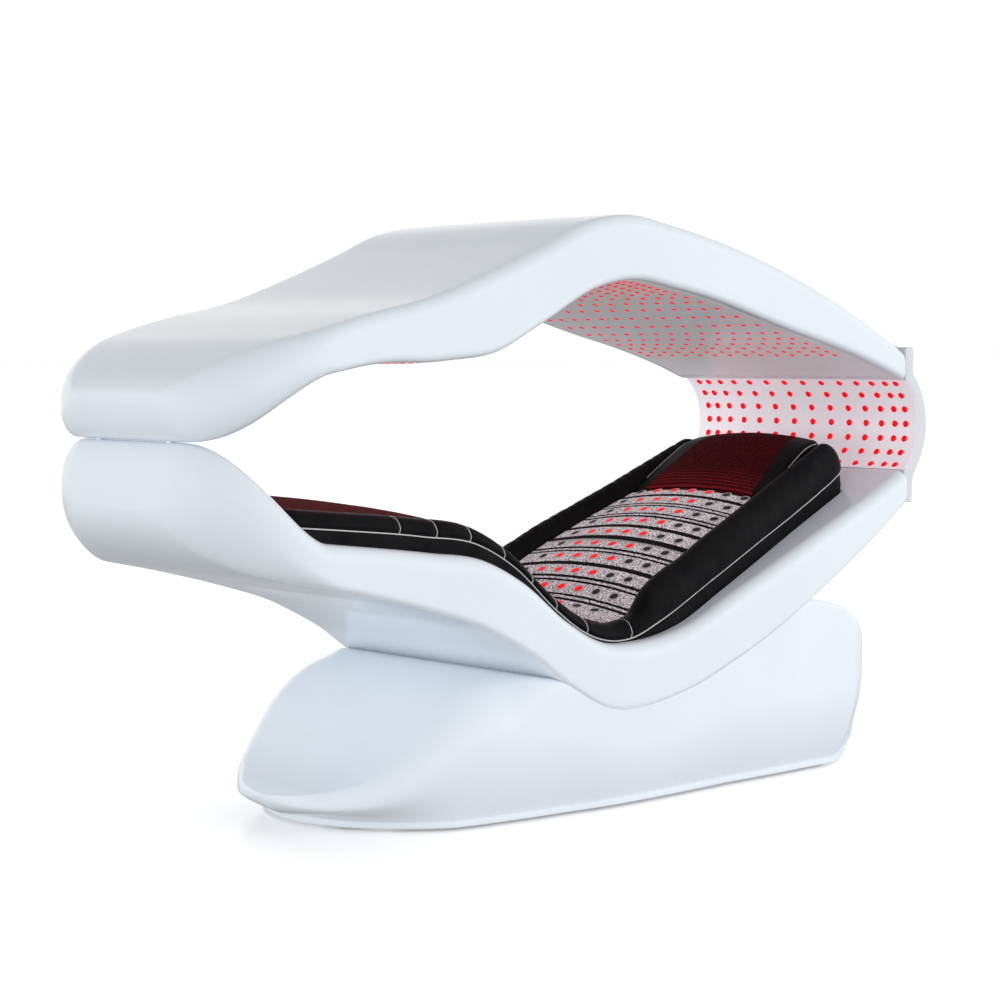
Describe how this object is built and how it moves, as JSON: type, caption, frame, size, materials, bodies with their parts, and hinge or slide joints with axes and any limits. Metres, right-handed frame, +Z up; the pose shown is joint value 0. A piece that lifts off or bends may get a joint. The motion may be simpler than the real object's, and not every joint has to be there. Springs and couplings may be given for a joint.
{
  "type": "red light therapy bed",
  "caption": "Reclined therapy couch with padded bolsters on a pedestal base, a concave light panel at the head and a long light canopy hinged above it.",
  "frame": {"origin": "on the floor under the middle of the bed's box", "axes": "+X along the bed towards the head end, +Y across the bed to the left of a person lying in it, +Z up"},
  "size_m": [2.31, 0.81, 1.3836],
  "materials": {
    "gloss_white": "gloss moulded shell",
    "panel_white": "satin moulded panel",
    "black_leather": "grained black upholstery leather",
    "red_mesh": "dark red spacer mesh",
    "grey_fabric": "grey marl woven cover",
    "mat_black": "flexible emitter mat",
    "steel": "zinc plated",
    "dark_steel": "black powder coat",
    "bronze": "plain turned",
    "board_white": "coated board",
    "aluminium": "extruded",
    "black_plastic": "fine texture",
    "rubber": "matt"
  },
  "bodies": {
    "couch": {"base_plate": "dark_steel", "base_shell": "gloss_white", "control_unit": "black_plastic", "couch_deck": "board_white", "couch_left_rail": "steel", "couch_right_rail": "steel", "couch_shell": "gloss_white", "fan_frame": "black_plastic", "foot_front_left": "rubber", "foot_front_right": "rubber", "foot_rear_left": "rubber", "foot_rear_right": "rubber", "head_board": "board_white", "head_housing": "gloss_white", "head_light_panel": "panel_white", "head_strap_left": "steel", "head_strap_right": "steel", "hinge_bar": "steel", "hinge_knuckle_middle": "steel", "mains_inlet": "black_plastic", "pad_bolster": "black_leather", "pad_head_panel": "red_mesh", "pad_leg_panel": "red_mesh", "pad_light_mat": "mat_black", "pad_seat_panel": "grey_fabric", "post_front": "steel", "post_rear": "steel", "power_supply": "aluminium", "rest_bumper_left": "rubber", "rest_bumper_right": "rubber", "saddle_front": "dark_steel", "saddle_rear": "dark_steel", "service_panel": "panel_white"},
    "canopy": {"canopy_shell": "gloss_white", "canopy_light_panel": "panel_white", "canopy_head_board": "board_white", "canopy_body_board": "board_white", "canopy_leg_board": "board_white", "canopy_left_rib": "steel", "canopy_right_rib": "steel", "hinge_arm_left": "steel", "hinge_arm_right": "steel", "hinge_bush_left": "bronze", "hinge_bush_right": "bronze"},
    "fan": {"fan_rotor": "black_plastic"},
    "rocker": {"mains_rocker": "black_plastic"}
  },
  "joints": [
    {"name": "canopy_hinge", "type": "hinge", "parent": "couch", "child": "canopy", "pos_m": [1.03, 0, 1.0668], "axis": [0, 1, 0], "range_deg": [0, 40]},
    {"name": "fan_spin", "type": "hinge", "parent": "couch", "child": "fan", "pos_m": [0.7368, 0.062, 0.2], "axis": [1, 0, 0], "continuous": true},
    {"name": "rocker_tip", "type": "hinge", "parent": "couch", "child": "rocker", "pos_m": [0.7562, -0.085, 0.228], "axis": [0, 1, 0], "range_deg": [0, 14]}
  ]
}
